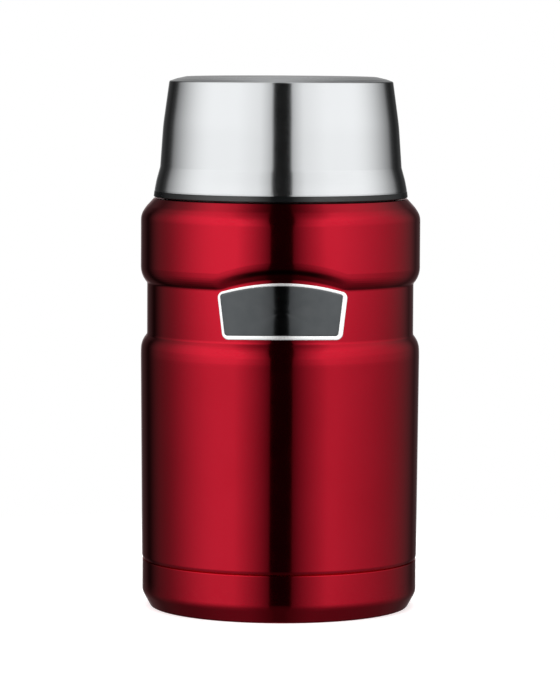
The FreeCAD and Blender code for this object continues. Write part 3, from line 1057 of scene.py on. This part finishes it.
def behind(tree, off, lean):
    """The room behind the jar: a faint wall and roof, and a soft strip in the middle."""
    wall_rise, wall_least = 0.035, 0.006
    roof_level = 0.07
    strip_level = 0.3
    wall_step = soft_step(tree, off, 138, 158)
    wall_glow = math_node(tree, "MULTIPLY_ADD", wall_step, wall_rise, wall_least)
    roof_step = soft_step(tree, off, 120, 150)
    roof = product(tree, roof_step, soft_step(tree, lean, 10, 40), roof_level)
    strip = product(tree, soft_step(tree, off, 158, 180), strip_level)
    return math_node(tree, "ADD", math_node(tree, "ADD", wall_glow, roof), strip)


def lacquer_light(tree, off, lean):
    """Boxes that the red body mirrors, and all plastic and inner pieces."""
    gap = 9
    edge_level = 0.12
    low_fade = 34
    low_level = 0.592
    near_share, far_share = 0.82, 0.18
    fade = stepped(tree, lean, low_fade, (-9, -5, 6), (11, 32, 60))
    inner = math_node(tree, "DIVIDE", math_node(tree, "SUBTRACT", off, gap), fade)
    inner = math_node(tree, "MINIMUM", math_node(tree, "ADD", inner, edge_level), 1)
    inner = product(tree, inner, math_node(tree, "GREATER_THAN", off, gap))
    near = product(tree, soft_step(tree, off, 50, 116), near_share)
    far = product(tree, soft_step(tree, off, 108, 142), far_share)
    left = math_node(tree, "SUBTRACT", 1, math_node(tree, "ADD", near, far))
    right = product(tree, ranged(tree, off, 1, 0.02, 46, 146),
                    ranged(tree, lean, 0.86, 1.0, 25, 50))
    outer = mixed(tree, on_the_right(tree), left, right)
    level = stepped(tree, lean, low_level,
                    (0.198, -5.5, -3), (0.08, 0, 9), (-0.22, 36, 58), (-0.55, 58, 84))
    under = product(tree, ranged(tree, lean, 0.38, 1, -40, -15),
                    ranged(tree, lean, 0.35, 1, -70, -40))
    light = product(tree, inner, outer, level, under)
    return math_node(tree, "ADD", light, behind(tree, off, lean))


def steel_light(tree, off, lean, gap=8.1):
    """Boxes that the lid's steel mirrors."""
    edge_level = 0.5
    inner = stepped(tree, off, edge_level, (0.36, gap, 19), (0.14, 19, 40))
    inner = product(tree, inner, math_node(tree, "GREATER_THAN", off, gap))
    outer = math_node(tree, "SUBTRACT", 1, soft_step(tree, off, 66, 150))
    edge = ranged(tree, off, 1, 0.3, 124, 132)
    level = product(tree, ranged(tree, lean, 0.593, 1.0, -5, 1.5),
                    ranged(tree, lean, 1, 0.93, 18, 28))
    under = ranged(tree, lean, 0.2, 1, -32, -11)
    light = product(tree, inner, outer, edge, level, under)
    return math_node(tree, "ADD", light, behind(tree, off, lean))


def badge_light(tree, off, lean):
    """The lid's boxes with a narrower gap, and brighter."""
    brighter = 1.55
    return product(tree, steel_light(tree, off, lean, gap=6.5), brighter)


def surround(name, radius, light, linked, state, clear=False):
    """Sphere of mirrored light for the linked things, or for all but these.

    A clear sphere lets glossy rays of the other things through to the next one.
    """
    bpy.ops.mesh.primitive_uv_sphere_add(segments=96, ring_count=48, radius=radius,
                                         location=jar_middle)
    made = bpy.context.object
    made.name = name
    material, tree, surface = empty_material(name)
    shine = glow(tree, light(tree, *shine_place(tree, radius)))
    if clear:
        glass = tree.nodes.new("ShaderNodeBsdfTransparent")
        shine = both(tree, shine, glass.outputs["BSDF"])
    tree.links.new(shine, surface)
    made.data.materials.append(material)
    mirrored_only(made)
    links = bpy.data.collections.new(name + "_links")
    for thing in linked:
        links.objects.link(thing)
    for entry in links.collection_objects:
        entry.light_linking.link_state = state
    made.light_linking.receiver_collection = links


def lamp(name, place, size, power):
    """Square soft lamp aimed at the jar's middle. Glossy rays don't see it."""
    data = bpy.data.lights.new(name, "AREA")
    data.shape = "SQUARE"
    data.size = size
    data.energy = power
    made = bpy.data.objects.new(name, data)
    made.location = place
    aim = jar_middle - Vector(place)
    made.rotation_euler = aim.to_track_quat("-Z", "Y").to_euler()
    made.visible_glossy = False
    bpy.context.scene.collection.objects.link(made)


def world():
    """White to the camera and to what glossy and clear things show, softer as light."""
    soft_strength = 0.5
    seen_strength = 1.0
    made = bpy.data.worlds.new("studio")
    bpy.context.scene.world = made
    made.use_nodes = True
    tree = made.node_tree
    tree.nodes.clear()
    output = tree.nodes.new("ShaderNodeOutputWorld")
    path = tree.nodes.new("ShaderNodeLightPath")
    seen = path.outputs["Is Camera Ray"]
    for kind in ("Is Glossy Ray", "Is Transmission Ray"):
        seen = math_node(tree, "MAXIMUM", seen, path.outputs[kind])
    mix = tree.nodes.new("ShaderNodeMixShader")
    tree.links.new(seen, mix.inputs["Fac"])
    for socket, strength in ((mix.inputs[1], soft_strength), (mix.inputs[2], seen_strength)):
        sky = tree.nodes.new("ShaderNodeBackground")
        sky.inputs["Color"].default_value = (1, 1, 1, 1)
        sky.inputs["Strength"].default_value = strength
        tree.links.new(sky.outputs["Background"], socket)
    tree.links.new(mix.outputs["Shader"], output.inputs["Surface"])


def camera():
    """The photograph's view, fitted to the jar's outline and its level rings."""
    distance = 1.5658
    elevation = math.radians(4.743)
    azimuth = math.radians(-1.1)
    roll = math.radians(0.28)
    aim = Vector((0, 0, 0.10131))
    out = Vector((
        math.sin(azimuth) * math.cos(elevation),
        -math.cos(azimuth) * math.cos(elevation),
        math.sin(elevation),
    ))
    data = bpy.data.cameras.new("camera")
    data.sensor_fit = "VERTICAL"
    data.sensor_height = 36
    data.lens = 203.9
    made = bpy.data.objects.new("camera", data)
    made.location = aim + out * distance
    turned = (-out).to_track_quat("-Z", "Y").to_matrix().to_4x4()
    turned = turned @ Matrix.Rotation(roll, 4, Vector((0, 0, 1)))
    made.rotation_euler = turned.to_euler()
    bpy.context.scene.collection.objects.link(made)
    bpy.context.scene.camera = made


bpy.context.scene.view_settings.view_transform = "Standard"
floor()
foot_shade()
badge_pieces = [field_piece, border_piece]
surround("badge_surround", 2.3, badge_light, badge_pieces, "INCLUDE", clear=True)
surround("steel_surround", 2.4, steel_light, [lid_piece], "INCLUDE", clear=True)
surround("body_surround", 2.5, lacquer_light, [lid_piece, *badge_pieces], "EXCLUDE")
world()
lamp("key", (-1.0, -1.1, 0.9), size=0.9, power=14)
lamp("fill", (1.1, -1.0, 0.8), size=0.9, power=11)
lamp("top", (0, 0.2, 1.4), size=1.0, power=9)
camera()
